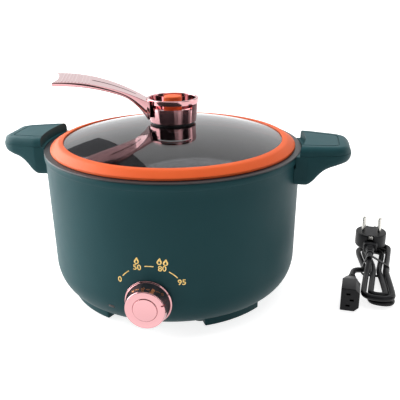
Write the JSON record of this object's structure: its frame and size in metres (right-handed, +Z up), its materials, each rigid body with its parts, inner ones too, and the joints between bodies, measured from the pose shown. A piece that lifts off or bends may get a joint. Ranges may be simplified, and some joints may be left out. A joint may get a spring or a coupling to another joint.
{
  "type": "electric hot pot with lift-off lid",
  "caption": "Round electric hot pot with side handles, front temperature dial, domed glass lid with a cup knob and rest arm, and a detachable mains lead lying in a tied hank.",
  "frame": {"origin": "on the table under the pot, at the centre of the pot's own bounding box seen from above", "axes": "+Z up along the pot's axis, -Y to the front where the temperature dial is, +X through the right handle"},
  "size_m": [0.4667, 0.3068, 0.2453],
  "materials": {
    "shell_green": "fine matt",
    "pan_metal": "satin non-stick coating",
    "cover_plastic": "fine grain",
    "pad_rubber": "matt",
    "screw_steel": "zinc plated",
    "handle_plastic": "satin",
    "handle_under": "satin",
    "rose_metal": "polished rose metal",
    "dial_face": "spun",
    "shaft_steel": "turned",
    "switch_body": "moulded",
    "bracket_steel": "galvanised",
    "socket_plastic": "moulded",
    "contact_brass": "bright",
    "lamp_lens": "clear",
    "lamp_glass": "clear",
    "heater_sheath": "heat tinted",
    "shield_sheet": "mill finish",
    "fuse_ceramic": "ceramic",
    "lid_glass": "grey tinted",
    "orange_silicone": "satin",
    "clear_silicone": "satin",
    "tube_steel": "turned",
    "cord_rubber": "satin",
    "plug_metal": "nickel plated"
  },
  "bodies": {
    "pot": {"outer_shell": "shell_green", "inner_pot": "pan_metal", "bottom_cover": "cover_plastic", "foot_pads": "pad_rubber", "bottom_screws": "screw_steel", "right_handle_top": "handle_plastic", "right_handle_base": "handle_under", "left_handle_top": "handle_plastic", "left_handle_base": "handle_under", "handle_screws": "screw_steel", "thermostat": "switch_body", "thermostat_bracket": "bracket_steel", "inlet_socket": "socket_plastic", "inlet_pins": "contact_brass", "inlet_screws": "screw_steel", "indicator_lens": "lamp_lens", "indicator_lamp": "lamp_glass", "heating_element": "heater_sheath", "heat_shield": "shield_sheet", "pan_studs": "shaft_steel", "stud_nuts": "screw_steel", "thermal_fuse": "fuse_ceramic"},
    "dial": {"dial_knob": "rose_metal", "dial_disc": "dial_face", "thermostat_shaft": "shaft_steel"},
    "lid": {"lid_glass": "lid_glass", "lid_ring": "orange_silicone", "lid_knob": "rose_metal", "knob_gasket": "clear_silicone", "vent_tube": "tube_steel", "lid_washer": "clear_silicone", "lid_nut": "screw_steel"},
    "steam_valve": {"steam_cap": "orange_silicone"},
    "mains_lead": {"lead_connector": "cord_rubber", "lead_hank": "cord_rubber", "lead_plug": "cord_rubber", "plug_pins": "plug_metal", "lead_tie": "cord_rubber"}
  },
  "joints": [
    {"name": "dial_turn", "type": "hinge", "parent": "pot", "child": "dial", "pos_m": [0, -0.1402, 0.043], "axis": [0, -1, 0], "range_deg": [0, 130]},
    {"name": "lid_lift", "type": "slide", "parent": "pot", "child": "lid", "axis": [0, 0, 1], "range_m": [0, 0.15]},
    {"name": "steam_lift", "type": "slide", "parent": "lid", "child": "steam_valve", "axis": [0, 0, 1], "range_m": [0, 0.003]},
    {"name": "lead_lift", "type": "slide", "parent": "pot", "child": "mains_lead", "axis": [0, 0, 1], "range_m": [0, 0.1]}
  ]
}
